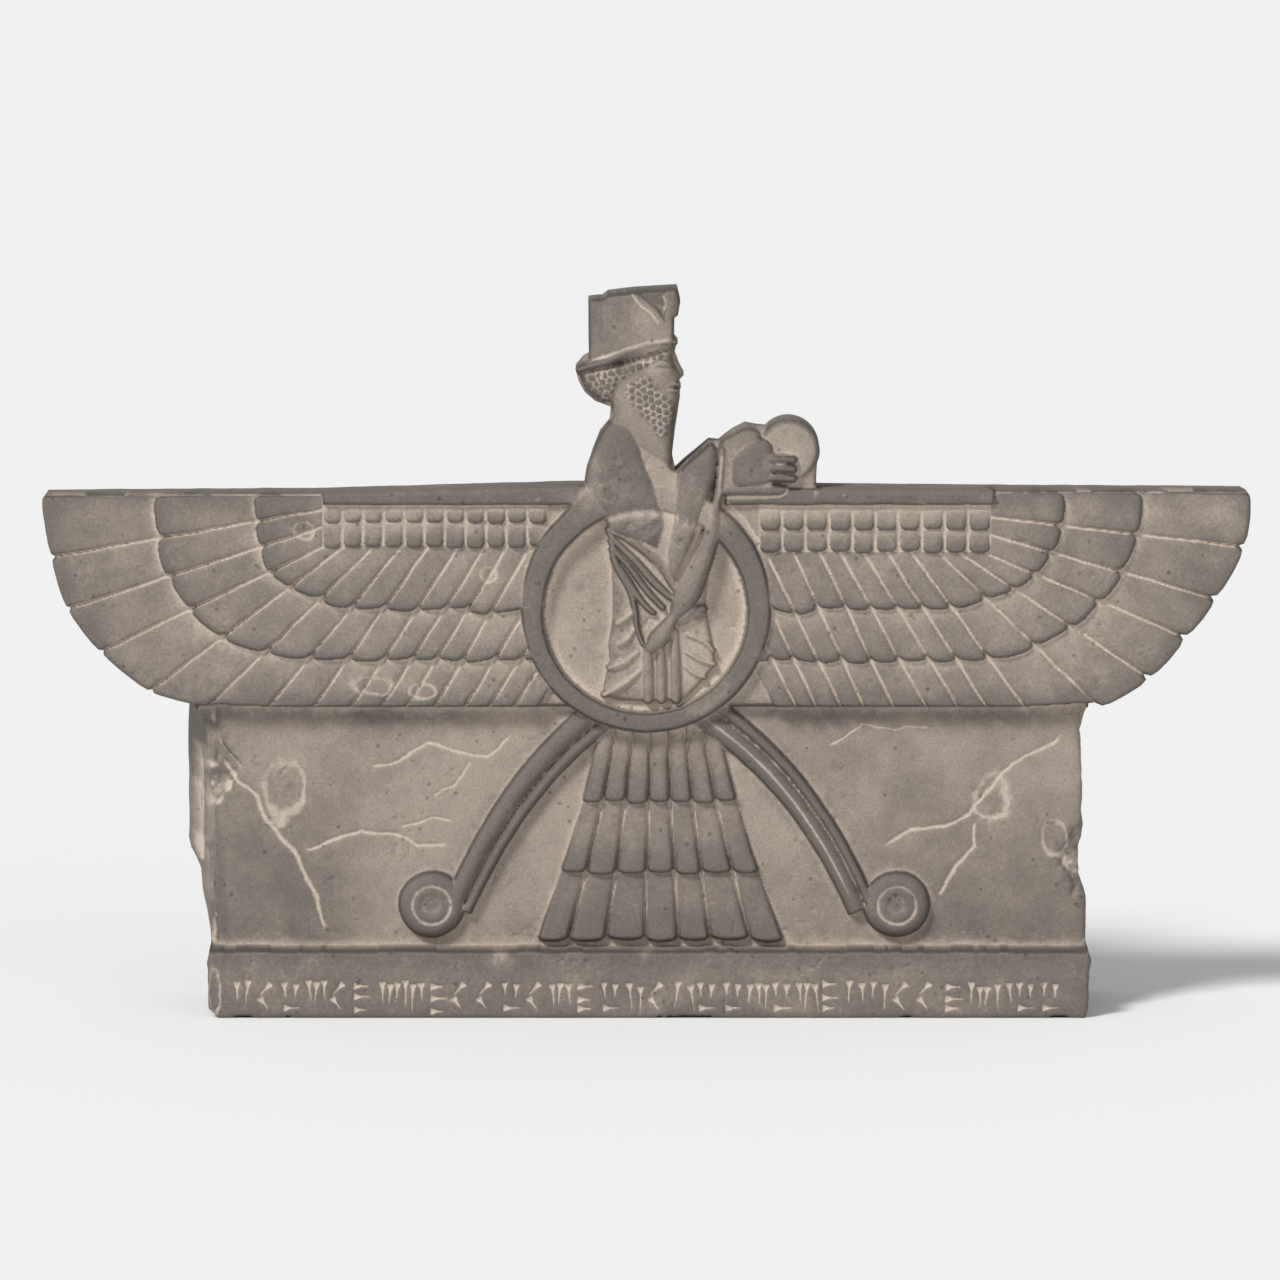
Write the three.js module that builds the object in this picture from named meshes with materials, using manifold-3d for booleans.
// Faravahar statue: a winged ring with a robed figure, cut out at the top and in relief on a block
// plinth below, cast in one piece of stone.
//
// Millimetres. X runs along the wings, the front faces -Y, Z is up, and the origin is the middle of
// the underside. The relief is drawn in its own coordinates, [across, up], with "forward" for the
// distance towards the viewer from the middle of the depth. The last step turns them upright.

import * as THREE from 'three';
import { mergeVertices } from 'three/addons/utils/BufferGeometryUtils.js';
import Module from 'manifold-3d';

// Depth levels, as distances forward of the middle plane
const BACK = -23;
const WING_BACK = 3;
const PANEL_FACE = 15;
const RING_FIELD = 17;
const WING_FACE = 18;
const RING_FACE = 21.2;
const STRIP_FACE = 23;
const ROBE_FACE = 18.8;
const CHEST_FACE = 20.9;
const SHOULDER_FACE = 22.4;

// Plinth
const STRIP_TOP = 17;
const BLOCK_LEFT = -109.5;
const BLOCK_RIGHT = 109.3;
const BLOCK_SHOULDER = 84;
const SHOULDER_TOP = 98;
const BACK_DRAFT = 1.2;
const FLARE = 6.3;
const FLARE_HEIGHT = 82;
const BREAK_FLOOR = 14.8;

// Wings: the floor of each groove runs straight from its root, at the covert block, to its end
const WING_LOW = 78.1;
const GROOVE = 0.7;
const FEATHER_ROOT_RISE = 0.3;
const FEATHER_END_RISE = 1.7;
const ROW_OVERLAP = 1.2;
const ROUNDING = 1.6;

const LEFT_WING = {
  side: -1,
  roots: [
    [-81, 131.4], [-81, 127.6], [-81, 123.3], [-81, 118.3], [-77.9, 116.6], [-69.4, 116.9],
    [-62.7, 116.4], [-55.5, 116.9], [-48.4, 116.1], [-41.7, 116.1], [-36.2, 115.9], [-31.6, 114],
    [-21.4, 116.4], [-14.4, 116.4], [-7.6, 116.4], [-1.4, 116.4],
  ],
  ends: [
    [-150.1, 131.3], [-147.7, 115.9], [-143.9, 103], [-135.7, 92.3], [-123.5, 82.4], [-108.9, 78.7],
    [-94.3, 78.1], [-83.1, 78.1], [-73.7, 78.1], [-66.3, 78.1], [-60.1, 78.1], [-52.9, 78.1],
    [-45.3, 78.1], [-39.3, 78.1], [-33.1, 78.1], [-26.9, 78.1],
  ],
  outerShares: [0.6, 0.235],
  innerShares: [0.67, 0.335],
  shareTurn: [2.5, 5.2],
  reach: 1.2,
};
const RIGHT_WING = {
  side: 1,
  roots: [
    [86.6, 132.2], [86.8, 125.7], [86.5, 121.2], [83.9, 117.1], [80.3, 115.5], [74.1, 115.9],
    [67.6, 115], [61.2, 115.5], [55.2, 115.5], [49.2, 115.5], [44, 115.5], [37.3, 115.5],
    [31.8, 112.6], [25, 115.5], [19, 115.5], [11.4, 115.5],
  ],
  ends: [
    [148.9, 132.2], [147.5, 118.6], [140.5, 105.9], [133.1, 96.3], [124.3, 86.3], [112.1, 79.2],
    [94.6, 78.1], [85.1, 78.1], [78.1, 78.1], [70, 78.1], [61.9, 78.1], [54.5, 78.1],
    [48.7, 78.1], [42.5, 78.1], [37.5, 78.1], [32, 78.1],
  ],
  outerShares: [0.585, 0.26],
  innerShares: [0.67, 0.325],
  shareTurn: [3.2, 5.5],
  reach: 2.4,
};
const OUTER_FEATHERS = 5;
const TOP_EDGE = [[-17, 133.6], [43, 133], [84, 132.6]];

// Coverts: a smooth band along the top edge over two rows of short scales
const LEFT_COVERTS = { from: -81, pitch: 5.12, count: 11, rows: [[128.1, 124.3], [123.9, 118.2]] };
const RIGHT_COVERTS = { from: 28.1, pitch: 5.8, count: 10, rows: [[127.4, 122.5], [122.1, 116.9]] };
const COVERT_TOP = 128.9;
const COVERT_RISE = 1.7;

// Ring
const RING_CENTRE = [-0.1, 103.1];
const RING_OUTER = 31.6;
const RING_INNER = 25.6;
const RING_CHAMFER = 0.7;

// Tail: three rows of seven feathers that spread out and down from under the ring
const TAIL_TOP = 72;
const TAIL_BOTTOM = 17.6;
const TAIL_ROOTS = [-12.4, 18.9];
const TAIL_ENDS = [-28.25, -20.1, -10.5, -0.4, 8.1, 16.25, 26.6, 35.1];
const TAIL_ROWS = [53.6, 35.6, 18.6];
const TAIL_FLARE = 1.25;

// Scrolled tendrils
const LEFT_TENDRIL = { line: [[-12.4, 73.6], [-32.6, 58], [-46.5, 26.5]], scroll: [-53.9, 27.9] };
const RIGHT_TENDRIL = { line: [[16.5, 77], [41.5, 60], [55.2, 27]], scroll: [62.8, 27.9] };
const TENDRIL_LEFT_WIDTH = 6;
const TENDRIL_RIGHT_WIDTH = 3.4;
const TENDRIL_RISE = 3.2;
const TENDRIL_STEPS = 5;
const SCROLL_RADIUS = 8.4;

// Wedge strokes along the strip
const INSCRIPTION = [-104.5, 104.5];
const STROKE_GROUPS = 24;
const STROKE_DEPTH = 0.6;

// Held disc
const DISC_CENTRE = [35.5, 142.5];
const DISC_RADIUS = 7.75;

const wasm = await Module();
wasm.setup();

// Turns a closed three.js geometry into a solid that can be joined and cut
function solid(geometry) {
  const bare = geometry.index ? geometry.toNonIndexed() : geometry.clone();
  bare.deleteAttribute('normal');
  bare.deleteAttribute('uv');
  const merged = mergeVertices(bare, 1e-4);
  const { array } = merged.attributes.position;
  const corner = (vertex) => new THREE.Vector3().fromArray(array, vertex * 3);
  const triangles = [];
  let volume = 0;
  for (let i = 0; i < merged.index.count; i += 3) {
    const [a, b, c] = merged.index.array.slice(i, i + 3);
    if (a === b || b === c || c === a) continue;
    triangles.push([a, b, c]);
    volume += corner(a).dot(corner(b).cross(corner(c)));
  }
  const outward = volume > 0 ? triangles : triangles.map(([a, b, c]) => [a, c, b]);
  return new wasm.Manifold(new wasm.Mesh({
    numProp: 3,
    vertProperties: new Float32Array(array),
    triVerts: new Uint32Array(outward.flat()),
  }));
}

function join(solids) {
  let level = solids;
  while (level.length > 1) {
    const next = [];
    for (let i = 0; i < level.length; i += 2) {
      next.push(i + 1 < level.length ? level[i].add(level[i + 1]) : level[i]);
    }
    level = next;
  }
  return level[0];
}

function mix(a, b, t) {
  return [a[0] + (b[0] - a[0]) * t, a[1] + (b[1] - a[1]) * t];
}

function apart(a, b) {
  return Math.hypot(b[0] - a[0], b[1] - a[1]);
}

function ease(from, to, value) {
  return THREE.MathUtils.smoothstep(value, from, to);
}

function shapeOf(points) {
  const ordered = THREE.ShapeUtils.area(points.map(([x, y]) => new THREE.Vector2(x, y))) < 0
    ? [...points].reverse()
    : points;
  return new THREE.Shape(ordered.map(([x, y]) => new THREE.Vector2(x, y)));
}

function curved(points, count, closed = true) {
  const curve = new THREE.CatmullRomCurve3(points.map(([x, y]) => new THREE.Vector3(x, y, 0)), closed);
  return curve.getSpacedPoints(count).slice(0, closed ? count : count + 1).map((p) => [p.x, p.y]);
}

// A flat plate with the given outline, between two depth levels
function plate(points, from, to) {
  const geometry = new THREE.ExtrudeGeometry(shapeOf(points), { depth: to - from, bevelEnabled: false });
  geometry.translate(0, 0, from);
  return solid(geometry);
}

// A plate whose front edge is rounded off
function pad(points, from, to, round) {
  const geometry = new THREE.ExtrudeGeometry(shapeOf(points), {
    depth: to - from - round,
    bevelThickness: round,
    bevelSize: round,
    bevelOffset: -round,
    bevelSegments: 1,
  });
  geometry.translate(0, 0, from);
  return solid(geometry);
}

// A plate whose front face slopes: front([across, up]) gives its level
function slopedPlate(points, from, front) {
  const geometry = new THREE.ExtrudeGeometry(shapeOf(points), { depth: 1, bevelEnabled: false });
  const position = geometry.attributes.position;
  for (let i = 0; i < position.count; i += 1) {
    const forward = position.getZ(i) > 0.5 ? front([position.getX(i), position.getY(i)]) : from;
    position.setZ(i, forward);
  }
  return solid(geometry);
}

// A rounded ridge through stations [across, up, half width]
function roll(stations, base, rise, sides = 6) {
  const widest = Math.max(...stations.map((station) => station[2]));
  const last = stations.length - 1;
  const geometry = new THREE.CylinderGeometry(1, 1, last, sides, last);
  const position = geometry.attributes.position;
  for (let i = 0; i < position.count; i += 1) {
    const at = Math.round(last / 2 - position.getY(i));
    const before = stations[Math.max(at - 1, 0)];
    const after = stations[Math.min(at + 1, last)];
    const step = apart(before, after);
    const normal = [-(after[1] - before[1]) / step, (after[0] - before[0]) / step];
    const [x, up, half] = stations[at];
    const sideways = position.getX(i) * half;
    position.setXYZ(
      i,
      x + normal[0] * sideways,
      up + normal[1] * sideways,
      base + position.getZ(i) * rise * Math.sqrt(half / widest),
    );
  }
  return solid(geometry);
}

// A low boss, such as one curl of hair
function boss([x, up], radius, from, to, sides = 5) {
  const geometry = new THREE.CylinderGeometry(radius * 0.45, radius, to - from, sides);
  geometry.rotateX(Math.PI / 2);
  geometry.translate(x, up, (from + to) / 2);
  return solid(geometry);
}

// A turned form about an axis that points forward, from a profile of [radius, forward]
function turned([x, up], profile, segments) {
  const geometry = new THREE.LatheGeometry(profile.map(([r, y]) => new THREE.Vector2(r, y)), segments);
  geometry.rotateX(Math.PI / 2);
  geometry.translate(x, up, 0);
  return solid(geometry);
}

function mound([x, up], [halfWidth, halfHeight, depth], base, segments = [9, 4]) {
  const geometry = new THREE.SphereGeometry(1, ...segments);
  geometry.scale(halfWidth, halfHeight, depth);
  geometry.translate(x, up, base);
  return solid(geometry);
}

// Feathers

function rounding(f) {
  return Math.cbrt(1 - Math.abs(2 * f - 1) ** 3);
}

// A point of a wing: u counts the grooves from the top edge, along is a distance from the root
function wingPoint(wing, u, along) {
  const k = Math.min(Math.max(Math.floor(u), 0), wing.roots.length - 2);
  const root = mix(wing.roots[k], wing.roots[k + 1], u - k);
  const end = mix(wing.ends[k], wing.ends[k + 1], u - k);
  return mix(root, end, along / apart(root, end));
}

function featherLength(wing, u) {
  const k = Math.min(Math.floor(u), wing.roots.length - 2);
  return apart(mix(wing.roots[k], wing.roots[k + 1], u - k), mix(wing.ends[k], wing.ends[k + 1], u - k));
}

function wingReach(wing, k) {
  return k < OUTER_FEATHERS ? wing.reach : 0;
}

// How far row 0, 1 or 2, from the outside in, comes along a feather
function rowEnd(wing, row, u) {
  const k = Math.min(Math.floor(u), wing.roots.length - 2);
  const f = u - k;
  const length = featherLength(wing, u);
  if (row === 0) return length + wingReach(wing, k) * rounding(f);
  const turn = ease(...wing.shareTurn, u - 1);
  const share = THREE.MathUtils.lerp(wing.outerShares[row - 1], wing.innerShares[row - 1], turn);
  return length * share + ROUNDING * (rounding(f) - 0.5);
}

const TIP_STEPS = [0.06, 0.5, 0.94];

function wingFeather(wing, row, k) {
  const middle = k + 0.5;
  const start = row === 2 ? -1 : rowEnd(wing, row + 1, middle) - ROW_OVERLAP - ROUNDING;
  const end = rowEnd(wing, row, middle);
  const inset = (f, along) => {
    const width = apart(wingPoint(wing, k, along), wingPoint(wing, k + 1, along));
    const share = Math.min(GROOVE / 2 / width, 0.4);
    return k + share + f * (1 - 2 * share);
  };
  const margin = row === 0 ? GROOVE / 2 : 0;
  const tip = TIP_STEPS.map((f) => {
    const u = inset(f, end);
    return wingPoint(wing, u, rowEnd(wing, row, u) - margin);
  });
  const low = Math.max(start, 0);
  const points = [wingPoint(wing, inset(0, low), start), ...tip, wingPoint(wing, inset(1, low), start)];
  const root = wingPoint(wing, middle, start);
  const far = wingPoint(wing, middle, end);
  const run = apart(root, far);
  const way = [(far[0] - root[0]) / run, (far[1] - root[1]) / run];
  return slopedPlate(points, WING_FACE - 1, ([x, up]) => {
    const share = ((x - root[0]) * way[0] + (up - root[1]) * way[1]) / run;
    return WING_FACE + FEATHER_ROOT_RISE + (FEATHER_END_RISE - FEATHER_ROOT_RISE) * Math.max(share, 0);
  });
}

function wingOutline(wing) {
  const points = [];
  for (let k = 0; k < wing.ends.length - 1; k += 1) {
    const steps = k < OUTER_FEATHERS ? [0, 0.12, 0.5, 0.88] : [0];
    for (const f of steps) points.push(wingPoint(wing, k + f, rowEnd(wing, 0, k + f)));
  }
  return points;
}

function wings() {
  const outline = [
    ...wingOutline(LEFT_WING),
    [0, WING_LOW],
    ...wingOutline(RIGHT_WING).reverse(),
    ...[...TOP_EDGE].reverse(),
    [-81, 131.8],
  ];
  const parts = [plate(outline, WING_BACK, WING_FACE)];
  for (const wing of [LEFT_WING, RIGHT_WING]) {
    for (let row = 0; row < 3; row += 1) {
      for (let k = 0; k < wing.ends.length - 1; k += 1) {
        const tip = wingPoint(wing, k + 0.5, rowEnd(wing, row, k + 0.5));
        if (apart(tip, RING_CENTRE) > RING_OUTER - 2) parts.push(wingFeather(wing, row, k));
      }
    }
  }
  return parts;
}

function coverts({ from, pitch, count, rows }) {
  const parts = [];
  for (const [top, bottom] of rows) {
    for (let i = 0; i < count; i += 1) {
      const left = from + i * pitch + GROOVE / 2;
      const right = left + pitch - GROOVE;
      if (apart([(left + right) / 2, bottom], RING_CENTRE) < RING_INNER) continue;
      const points = [
        [left, top + 0.6], [right, top + 0.6], [right, bottom + 1.3],
        [(left + right) / 2, bottom], [left, bottom + 1.3],
      ];
      parts.push(slopedPlate(points, WING_FACE - 1, ([, up]) => (
        WING_FACE + COVERT_RISE * THREE.MathUtils.lerp(1, 0.55, (up - bottom) / (top - bottom))
      )));
    }
  }
  return parts;
}

function covertBands() {
  const left = [[-81, COVERT_TOP], [-14, COVERT_TOP], [-14, 132.9], [-81, 131.3]];
  const right = [[27, COVERT_TOP], [86.5, COVERT_TOP], [86.5, 132.1], [27, 132.7]];
  return [left, right].map((points) => pad(points, WING_FACE - 1, WING_FACE + COVERT_RISE, 0.5));
}

// Ring and the sunk field inside it

function ring() {
  const profile = [
    [RING_INNER, PANEL_FACE - 1], [RING_OUTER, PANEL_FACE - 1], [RING_OUTER, RING_FACE - RING_CHAMFER],
    [RING_OUTER - RING_CHAMFER, RING_FACE], [RING_INNER + RING_CHAMFER, RING_FACE],
    [RING_INNER, RING_FACE - RING_CHAMFER], [RING_INNER, PANEL_FACE - 1],
  ];
  return turned(RING_CENTRE, profile, 30);
}

function fieldDisc(from, to, radius) {
  return turned(RING_CENTRE, [[0, from], [radius, from], [radius, to], [0, to]], 30);
}

// Tail

function tailEdge(j, up) {
  const k = Math.min(Math.floor(j), TAIL_ENDS.length - 2);
  const share = (TAIL_TOP - up) / (TAIL_TOP - TAIL_BOTTOM);
  const root = THREE.MathUtils.lerp(...TAIL_ROOTS, j / (TAIL_ENDS.length - 1));
  const end = THREE.MathUtils.lerp(TAIL_ENDS[k], TAIL_ENDS[k + 1], j - k);
  return root + (end - root) * Math.max(share, 0) ** TAIL_FLARE;
}

function tail() {
  const parts = [];
  const count = TAIL_ENDS.length - 1;
  TAIL_ROWS.forEach((low, row) => {
    const high = row === 0 ? TAIL_TOP : TAIL_ROWS[row - 1] - ROW_OVERLAP;
    for (let j = 0; j < count; j += 1) {
      const at = (f, up) => {
        const left = tailEdge(j, up) + GROOVE / 2;
        const right = tailEdge(j + 1, up) - GROOVE / 2;
        return [left + (right - left) * f, up];
      };
      const tip = [0, 0.5, 1].map((f) => at(f, low + ROUNDING * (1 - rounding(0.03 + f * 0.94))));
      const points = [at(0, high + 1.5), ...tip, at(1, high + 1.5)];
      parts.push(slopedPlate(points, PANEL_FACE - 1, ([, up]) => (
        PANEL_FACE + THREE.MathUtils.lerp(2.6, 1, (up - low) / (high - low))
      )));
    }
  });
  return parts;
}

// Tendrils

function tendril({ line, scroll }) {
  const [start, bend, end] = line.map(([x, y]) => new THREE.Vector2(x, y));
  const path = new THREE.QuadraticBezierCurve(start, bend, end);
  const side = (offset, half) => Array.from({ length: TENDRIL_STEPS + 1 }, (_, i) => {
    const t = i / TENDRIL_STEPS;
    const at = path.getPoint(t);
    const way = path.getTangent(t);
    const taper = THREE.MathUtils.lerp(1, 0.8, t);
    return [at.x + way.y * offset * taper, at.y - way.x * offset * taper, half * taper];
  });
  const left = TENDRIL_LEFT_WIDTH / 2;
  const right = TENDRIL_RIGHT_WIDTH / 2;
  return [
    roll(side(left, left + 0.3), PANEL_FACE, TENDRIL_RISE),
    roll(side(-right, right + 0.3), PANEL_FACE, TENDRIL_RISE * 0.85),
    turned(scroll, [
      [0, PANEL_FACE - 1], [SCROLL_RADIUS, PANEL_FACE - 1], [SCROLL_RADIUS - 1.4, PANEL_FACE + 3],
      [5.4, PANEL_FACE + 2], [4, PANEL_FACE + 3.2], [2.6, PANEL_FACE + 2.2], [0, PANEL_FACE + 3.4],
    ], 12),
  ];
}

// Figure

// The cut-out part of the figure above the wings, up from the left shoulder and round to the disc
const FIGURE_OUTLINE = [
  [-16.4, 130], [-15.4, 134.4], [-14.9, 137.4], [-13.4, 142], [-11.6, 146.4], [-9.2, 149.3], [-8.9, 153.4],
  [-12.7, 154.8], [-15.3, 157], [-17, 160], [-17.7, 163], [-15.8, 165.2], [-14.3, 166],
  [-14.5, 180.2], [-11, 180.4], [-9.6, 181.6], [-3, 182.4], [7.6, 183], [8.4, 179.5], [7.9, 176.2],
  [7, 175.6], [6.8, 170.7], [7.8, 169.4], [7.3, 168.4], [6.9, 166.6], [7.5, 165.2], [8.2, 163.2],
  [9.3, 161.2], [8.2, 160.2], [8.1, 159.2], [8.6, 158.2], [8.1, 157.2], [8.4, 156.2], [7.9, 153],
  [7.2, 148], [6.3, 141], [7.1, 137.2], [9.8, 139.6], [15.6, 144.4], [18.1, 144.1], [21.6, 146.9],
  [24.6, 148.5], [27.6, 147.9],
];

function discArc(radius, from, to, count) {
  return Array.from({ length: count + 1 }, (_, i) => {
    const angle = THREE.MathUtils.degToRad(THREE.MathUtils.lerp(from, to, i / count));
    return [DISC_CENTRE[0] + radius * Math.cos(angle), DISC_CENTRE[1] + radius * Math.sin(angle)];
  });
}

function figureSlab() {
  const outline = [...FIGURE_OUTLINE, ...discArc(DISC_RADIUS, 138, -24, 10), [42.4, 136], [42.4, 130]];
  return plate(outline, WING_BACK, WING_FACE);
}

// A cylinder seen from the side, sunk into the slab, with sloping ends
function drum(left, right, low, high, depth) {
  const geometry = new THREE.CylinderGeometry(1, 1, 2, 12, 1);
  const position = geometry.attributes.position;
  for (let i = 0; i < position.count; i += 1) {
    const top = position.getY(i) > 0;
    const across = (position.getX(i) + 1) / 2;
    const level = top ? high : low;
    const span = top ? [left[1], right[1]] : [left[0], right[0]];
    position.setXYZ(
      i,
      THREE.MathUtils.lerp(...span, across),
      THREE.MathUtils.lerp(...level, across),
      WING_FACE - 1 + position.getZ(i) * depth,
    );
  }
  return solid(geometry);
}

function hat() {
  const crown = drum([-14.1, -14.4], [6.9, 8.2], [164.5, 170.5], [180.2, 182.9], 4.6);
  const brim = drum([-17.2, -16.4], [7.6, 7.8], [162, 168], [164.4, 170], 5.5);
  const chipOutline = [[-3.5, 184], [-3.5, 181.6], [2, 178.6], [5.4, 175.4], [4.6, 180], [5.4, 184]];
  const chip = plate(chipOutline, WING_FACE + 1.6, STRIP_FACE + 1);
  return { crown: crown.subtract(chip), brim };
}

function curls() {
  const parts = [];
  const row = (from, to, count, radius, top) => {
    for (let i = 0; i < count; i += 1) {
      parts.push(boss(mix(from, to, count > 1 ? i / (count - 1) : 0), radius, WING_FACE, top));
    }
  };
  row([-15.4, 161.2], [4.6, 167], 8, 1.3, 22);
  row([-15, 158.9], [-1, 163.2], 5, 1.3, 21.8);
  row([-13.4, 157], [-7, 159.2], 3, 1.2, 21.4);
  row([-11.4, 155.3], [-7.6, 156.6], 2, 1.1, 21);
  for (let i = 0; i < 5; i += 1) {
    const up = 158.2 - i * 2.5;
    row([-4.2 + i * 1.4, up], [5.9 - i * 0.1, up - 0.5], 4 - Math.floor(i * 0.5), 1.4, 21.6 - i * 0.15);
  }
  return parts;
}

function head() {
  return [
    mound([-0.6, 161.5], [7.6, 9, 3.4], WING_FACE - 0.4),
    mound([-11.6, 159.4], [5.4, 4.6, 3.4], WING_FACE - 0.4),
    pad([[-8.7, 155], [6.6, 155], [6.4, 146], [6, 139.5], [-3, 147], [-8.7, 148]], WING_FACE - 1, 20, 0.8),
    mound([4.4, 163.9], [1.1, 0.5, 1.5], 20, [8, 4]),
    roll([[2.6, 165.4, 0.4], [4.6, 166, 0.5], [6.3, 165.6, 0.4]], 19.6, 1.3),
    roll([[-5.6, 164, 0.6], [-4.4, 162, 0.9], [-5.2, 159.6, 0.6]], 20, 1.5),
  ];
}

function torso() {
  const chest = [
    [-15, 136], [-15.3, 132.4], [-13.6, 129.6], [-9.4, 125], [-9.3, 122.8], [-3, 119], [1.4, 114.4],
    [6.4, 108], [10.4, 113.9], [13.4, 120.1], [15.6, 126.4], [16.6, 131.4], [17.4, 137.4], [17.6, 142],
    [15.4, 144], [11.2, 140.7], [7.4, 137.4], [5, 139], [-3, 148.4], [-10.4, 147.6], [-13, 142.4],
  ];
  const shoulder = [
    [-14.4, 136], [-14.6, 132.6], [-12.6, 129.2], [-8.6, 126], [-7, 122.6], [-2.6, 119.6], [2.4, 117.6],
    [4, 123], [1.4, 128.6], [2, 132], [1, 137], [-1, 142.4], [-4.4, 148], [-9.8, 147.2], [-12.6, 142.4],
  ];
  return [
    pad(curved(chest, 20), WING_FACE - 4, CHEST_FACE, 1),
    pad(curved(shoulder, 16), WING_FACE, SHOULDER_FACE, 1.2),
  ];
}

function drapery() {
  const robe = [
    [-9.4, 124], [-9, 104], [-9.1, 94], [-9.9, 86.4], [-11.1, 80.9], [-6.6, 80.2], [9.9, 80.4],
    [13.4, 83.9], [17.4, 88.4], [16.4, 92.6], [15.6, 98.9], [14.8, 104], [15.4, 112], [12, 122],
  ];
  const folds = [
    [[-8.8, 123.6, 0.7], [-3.1, 118.4, 1.3], [2.1, 113, 1.5], [6.1, 107.8, 1.2]],
    [[-8.4, 120.6, 0.6], [-3.3, 115.3, 1], [0.9, 110.5, 1.1], [5.2, 105.6, 0.9]],
    [[-8.4, 117.6, 0.6], [-3.9, 112.6, 0.9], [0, 108, 1], [3.8, 103, 0.8]],
    [[-8.4, 114.6, 0.6], [-4.8, 109.6, 0.9], [-1.6, 104.6, 1], [1.4, 100.6, 0.7]],
    [[-7.6, 111.4, 0.6], [-4.9, 106.4, 0.9], [-3.4, 100.9, 0.9], [-2.2, 94.1, 0.6]],
  ];
  const pleats = [[0.4, 91.6, 1.25], [3.6, 92.4, 1.2], [7, 96.6, 1.15], [9.6, 97.6, 0.8]];
  const leaves = [
    [[-8.4, 98.8], [-3.2, 103]], [[-8.8, 93.2], [-3, 98.2]],
    [[-9.2, 87.4], [-2.7, 91.8]], [[-10, 81.6], [-2.2, 86.8]],
  ];
  const swags = [
    [[9.6, 97.4, 0.7], [13, 95, 0.9], [16.3, 93.2, 0.6]],
    [[9.8, 92.4, 0.7], [13.6, 90, 0.9], [16.8, 89.4, 0.6]],
    [[10, 88.6, 0.7], [13, 86.4, 0.8], [14.6, 86, 0.5]],
  ];
  return [
    plate(robe, RING_FIELD - 1, ROBE_FACE),
    ...folds.map((stations) => roll(stations, ROBE_FACE, 2)),
    ...pleats.map(([x, top, half]) => roll([[x - 0.1, top, half * 0.8], [x, 81, half]], ROBE_FACE, 1.5)),
    ...leaves.map(([from, to]) => roll([[...from, 0.9], [...to, 0.6]], ROBE_FACE, 1.3)),
    ...swags.map((stations) => roll(stations, ROBE_FACE, 1.4)),
    mound([11.4, 101.4], [2.6, 1.6, 1.6], ROBE_FACE, [8, 4]),
  ];
}

function arms() {
  const sleeve = [
    [18.9, 142.6, 0.8], [17.9, 136.4, 0.9], [17.1, 130.9, 1.1], [15.7, 121.4, 1.9],
    [13.3, 112.3, 2.9], [10.3, 106.4, 3], [7.6, 101.9, 1.4],
  ];
  const cuff = [[6.8, 102, 0.9], [4.3, 97.8, 1.9], [2.4, 94.6, 2.4], [1.7, 92.9, 1.4]];
  const forearm = [
    [15.6, 144], [18.1, 143.8], [21.6, 146.6], [24.6, 148.2], [27.4, 147.6], [27.4, 145.6], [22.4, 140],
    [21.4, 131.4], [18.4, 131.4],
  ];
  const hand = [
    [22.1, 140.9], [23.9, 143.3], [27.1, 145.9], [30.1, 145.7], [31.4, 142.9], [32, 134.8], [22.2, 134.4],
  ];
  const fingers = [141, 138.4, 135.9];
  return [
    roll(sleeve, 20, 2.9),
    roll(cuff, 19.4, 2.6),
    pad(forearm, WING_FACE - 1, 20.4, 0.7),
    pad(hand, WING_FACE - 1, 21.6, 0.8),
    ...fingers.map((up) => roll([[30.6, up, 1.1], [33.6, up, 1.2], [36.3, up - 0.1, 0.9]], 19.6, 2.2)),
    roll([[19.6, 132.3, 1.2], [27, 132.6, 1.5], [33.2, 132.9, 1.4], [34.8, 133.4, 0.8]], 19.2, 2.2),
    turned(DISC_CENTRE, [
      [0, WING_FACE - 2], [DISC_RADIUS - 0.3, WING_FACE - 2], [DISC_RADIUS - 0.3, 18.6],
      [DISC_RADIUS - 1.2, 19.4], [0, 19.6],
    ], 16),
  ];
}

// Plinth

// A prism along X whose end shape is given as [forward, up]
function sideways(points, length) {
  const geometry = new THREE.ExtrudeGeometry(shapeOf(points), { depth: length, bevelEnabled: false });
  geometry.translate(0, 0, -length / 2);
  const position = geometry.attributes.position;
  for (let i = 0; i < position.count; i += 1) {
    position.setXYZ(i, -position.getZ(i), position.getY(i), position.getX(i));
  }
  return solid(geometry);
}

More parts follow.
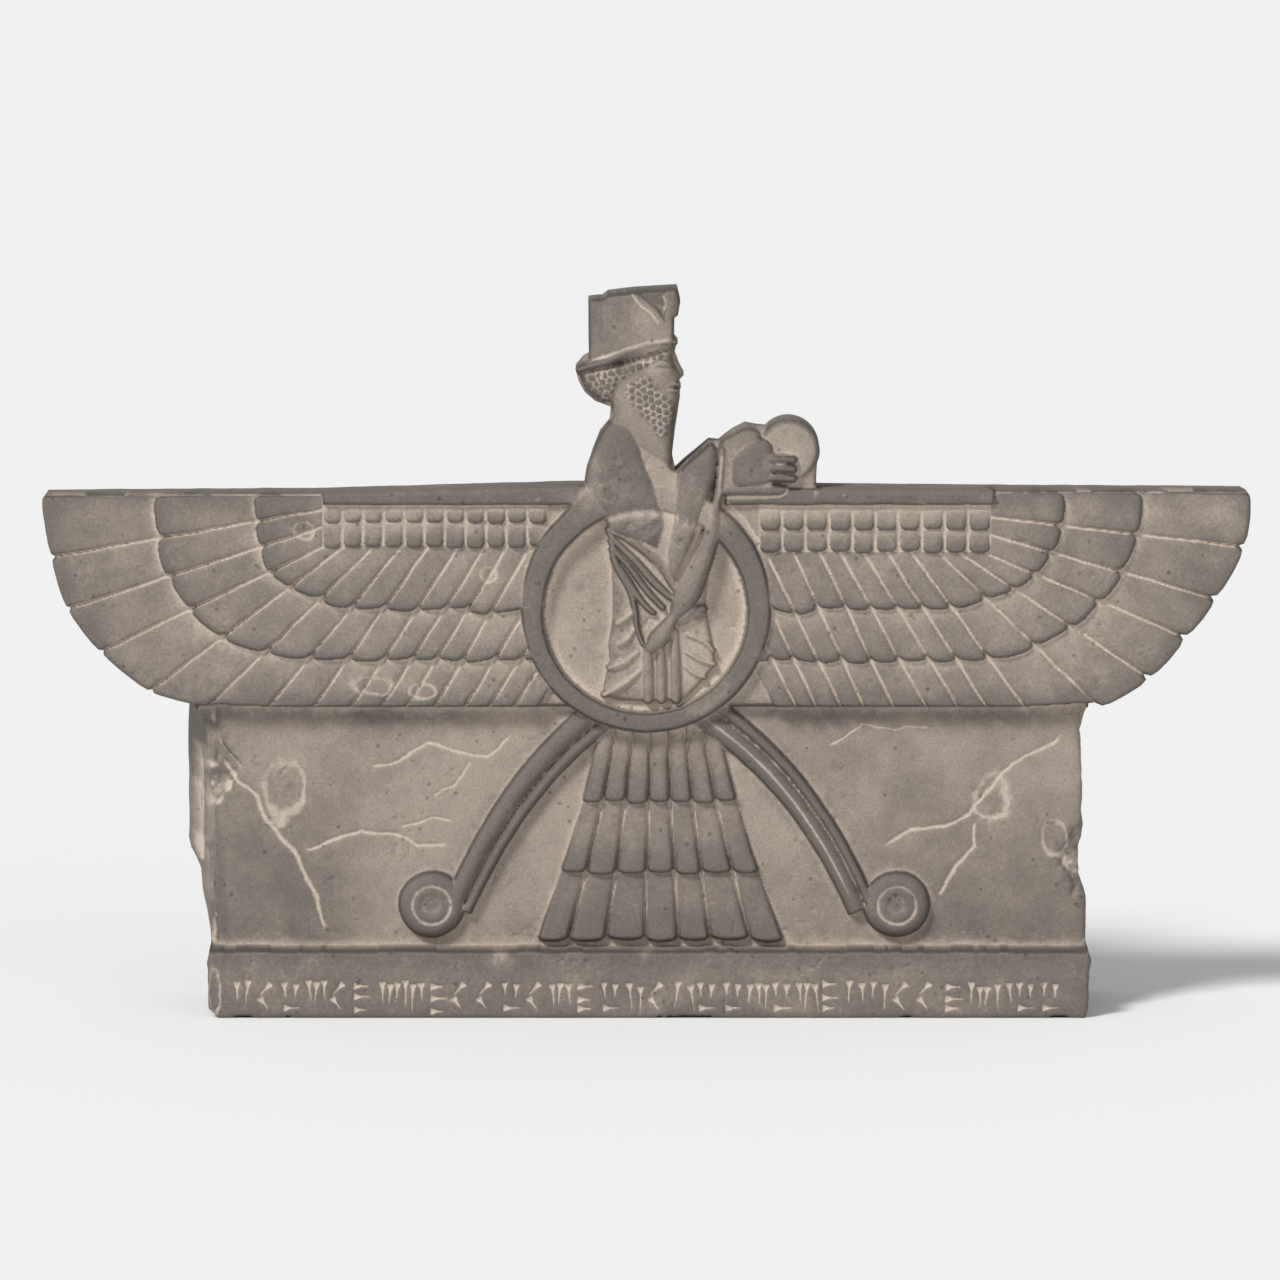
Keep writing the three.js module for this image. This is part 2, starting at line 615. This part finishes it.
function block() {
  const upperBack = BACK + BACK_DRAFT;
  const side = [
    [BACK, 0], [PANEL_FACE, 0], [PANEL_FACE, 82], [WING_BACK + 1, 90], [WING_BACK, SHOULDER_TOP],
    [WING_BACK - 5, SHOULDER_TOP - 1], [upperBack + 2, BLOCK_SHOULDER + 1.5], [upperBack, BLOCK_SHOULDER],
  ];
  const front = [
    [BLOCK_LEFT + 1.9, 0], [BLOCK_LEFT, 2.4], [BLOCK_LEFT, 62], [BLOCK_LEFT - 1.2, 72],
    [BLOCK_LEFT - 3.3, 78],
    [BLOCK_LEFT - 3.3, SHOULDER_TOP + 1], [BLOCK_RIGHT + 1.2, SHOULDER_TOP + 1], [BLOCK_RIGHT + 1.2, 77.6],
    [BLOCK_RIGHT - 0.9, 72], [BLOCK_RIGHT, 62], [BLOCK_RIGHT, 44.4], [BLOCK_RIGHT - 0.8, 42.5],
    [BLOCK_RIGHT - 0.6, 35], [BLOCK_RIGHT + 1.2, 30], [BLOCK_RIGHT + 1.2, 2], [BLOCK_RIGHT, 0],
  ];
  const length = 3 * BLOCK_RIGHT;
  return sideways(side, length).intersect(plate(front, BACK - 1, PANEL_FACE + 1));
}

// The inscribed strip along the foot of the panel
function strip() {
  const outline = [
    [BLOCK_LEFT + 2.2, 0], [BLOCK_LEFT - 0.2, 2.4], [BLOCK_LEFT - 0.6, 13.9], [BLOCK_LEFT, STRIP_TOP],
    [BLOCK_RIGHT + 1.5, STRIP_TOP], [BLOCK_RIGHT + 2.2, 14.6], [BLOCK_RIGHT + 1.6, 11.4],
    [BLOCK_RIGHT + 1.6, 2.4], [BLOCK_RIGHT + 0.6, 0],
  ];
  return pad(outline, 0, STRIP_FACE, 0.5);
}

// The rough flank on the left, which spreads towards the back
function flank() {
  const plan = [
    [BLOCK_LEFT + 2, 12], [BLOCK_LEFT - 0.1, 12], [BLOCK_LEFT - FLARE, -4],
    [BLOCK_LEFT - FLARE + 1, BACK + 3], [BLOCK_LEFT + 2, BACK + 2],
  ];
  const extrusion = { depth: FLARE_HEIGHT, steps: 6, bevelEnabled: false };
  const geometry = new THREE.ExtrudeGeometry(shapeOf(plan), extrusion);
  const position = geometry.attributes.position;
  for (let i = 0; i < position.count; i += 1) {
    const up = position.getZ(i);
    const spread = (ease(10, 34, up) + ease(34, 42, up)) / 2;
    const x = position.getX(i);
    const out = Math.max(BLOCK_LEFT - x, 0) * spread;
    position.setXYZ(i, Math.max(x, BLOCK_LEFT) - out, up, position.getY(i));
  }
  return solid(geometry);
}

// Broken corners and spalls, each a plate with a sloping floor that is cut away
function breaks() {
  const leftEdge = [
    [-114, 74], [-106.1, 72.1], [-105.6, 68.4], [-100.4, 62.6], [-103.6, 57], [-107, 50], [-114, 48],
  ];
  const rightEdge = [[112, 47], [100.4, 44.4], [104, 40.8], [106.4, 34], [112, 31]];
  const stripEnd = [
    [-112, 18], [-108.8, 17.6], [-107.2, 13], [-108.4, 8.6], [-106.9, 4], [-108.2, -1], [-112, -1],
  ];
  const cut = (points, level, middle, slope) => slopedPlate(points, STRIP_FACE + 1, ([x]) => (
    level - Math.abs(x - middle) * slope
  ));
  return [
    cut(leftEdge, BREAK_FLOOR, -100, 0.16),
    cut(rightEdge, BREAK_FLOOR, 100, 0.14),
    cut(stripEnd, STRIP_FACE - 0.4, -107, 0.5),
  ];
}

// Rows of shallow wedge-shaped strokes, which spell nothing
function strokes() {
  const cuts = [];
  const cell = (INSCRIPTION[1] - INSCRIPTION[0]) / STROKE_GROUPS;
  const wedge = (x, up, length, angle) => {
    const turn = THREE.MathUtils.degToRad(angle);
    const points = [[-1.1, 0.6], [1.1, 0.6], [0, -length]].map(([a, b]) => {
      const turned = new THREE.Vector2(a, b).rotateAround(new THREE.Vector2(), turn);
      return [x + turned.x, up + turned.y];
    });
    cuts.push(plate(points, STRIP_FACE - STROKE_DEPTH, STRIP_FACE + 1));
  };
  for (let i = 0; i < STROKE_GROUPS; i += 1) {
    const x = INSCRIPTION[0] + (i + 0.5) * cell;
    const kind = (i * 7 + 3) % 5;
    if (kind === 0 || kind === 3) {
      wedge(x - 2, 8.2, 6.4, 0);
      wedge(x + 1.6, 8.4 - kind / 3, 6, 0);
    } else if (kind === 1) {
      wedge(x - 1.4, 8.6, 6, 8);
      wedge(x + 2.2, 8, 5.6, 4);
    } else if (kind === 2) {
      wedge(x - 2.4, 7.8, 4.6, 90);
      wedge(x - 2.4, 3.6, 4.4, 90);
    } else {
      wedge(x + 0.4, 7.6, 4.2, -38);
      wedge(x - 1.8, 4.4, 3.4, 40);
    }
  }
  return cuts;
}

const { crown, brim } = hat();
const carved = join([
  block(), strip(), flank(), ...wings(), figureSlab(),
  fieldDisc(WING_BACK, RING_FIELD - 0.4, RING_OUTER - 2),
  ...[LEFT_COVERTS, RIGHT_COVERTS].flatMap(coverts), ...covertBands(), ...tail(),
  ...tendril(LEFT_TENDRIL), ...tendril(RIGHT_TENDRIL),
]).subtract(fieldDisc(RING_FIELD, STRIP_FACE, RING_INNER + 0.3));
const figure = join([
  ring(), crown, brim, ...head(), ...curls(), ...torso(), ...drapery(), ...arms(),
]);
const body = carved.add(figure).subtract(join([...breaks(), ...strokes()])).getMesh();

const geometry = new THREE.BufferGeometry();
geometry.setAttribute('position', new THREE.BufferAttribute(body.vertProperties, 3));
geometry.setIndex(new THREE.BufferAttribute(body.triVerts, 1));
geometry.rotateX(Math.PI / 2);

const stone = new THREE.MeshStandardMaterial({ color: 0x8f8377, roughness: 0.92, metalness: 0 });
const statue = new THREE.Mesh(geometry, stone);
statue.name = 'faravahar_statue';

const group = new THREE.Group();
group.add(statue);

export default group;
